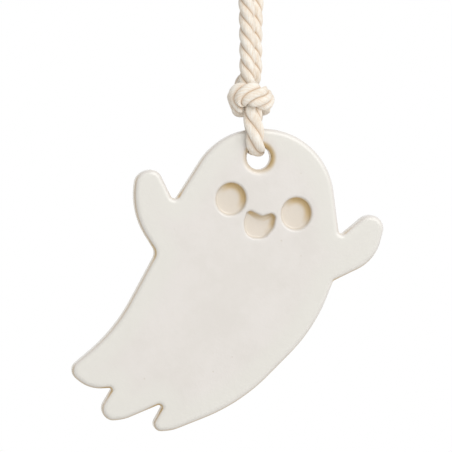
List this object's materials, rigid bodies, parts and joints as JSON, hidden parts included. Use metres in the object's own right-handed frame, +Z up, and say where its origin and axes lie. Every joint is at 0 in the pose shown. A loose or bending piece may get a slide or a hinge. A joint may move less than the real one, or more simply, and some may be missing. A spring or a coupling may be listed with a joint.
{
  "type": "hanging ghost ornament",
  "caption": "Flat glazed ceramic ghost with pressed eyes and an open smile, tail swept aside, hung through a hole in its head on a knotted loop of twisted cotton rope.",
  "frame": {"origin": "hang point on the inside of the rope loop's top, where a hook or twig bears", "axes": "+Z up, +X to the viewer's right, the ghost's face towards -Y"},
  "size_m": [0.0758, 0.0146, 0.1295],
  "materials": {
    "glaze": "satin warm off-white",
    "cotton": "undyed twisted cotton"
  },
  "bodies": {
    "cord": {"rope_hanging_loop": "cotton", "rope_knot": "cotton", "rope_knot_core": "cotton", "rope_hole_bight": "cotton"},
    "ghost": {"ghost_plaque": "glaze"}
  },
  "joints": [
    {"name": "ghost_swing", "type": "hinge", "parent": "cord", "child": "ghost", "pos_m": [0.00165, 0, -0.0593], "axis": [0, -1, 0], "range_deg": [-40, 50]}
  ]
}
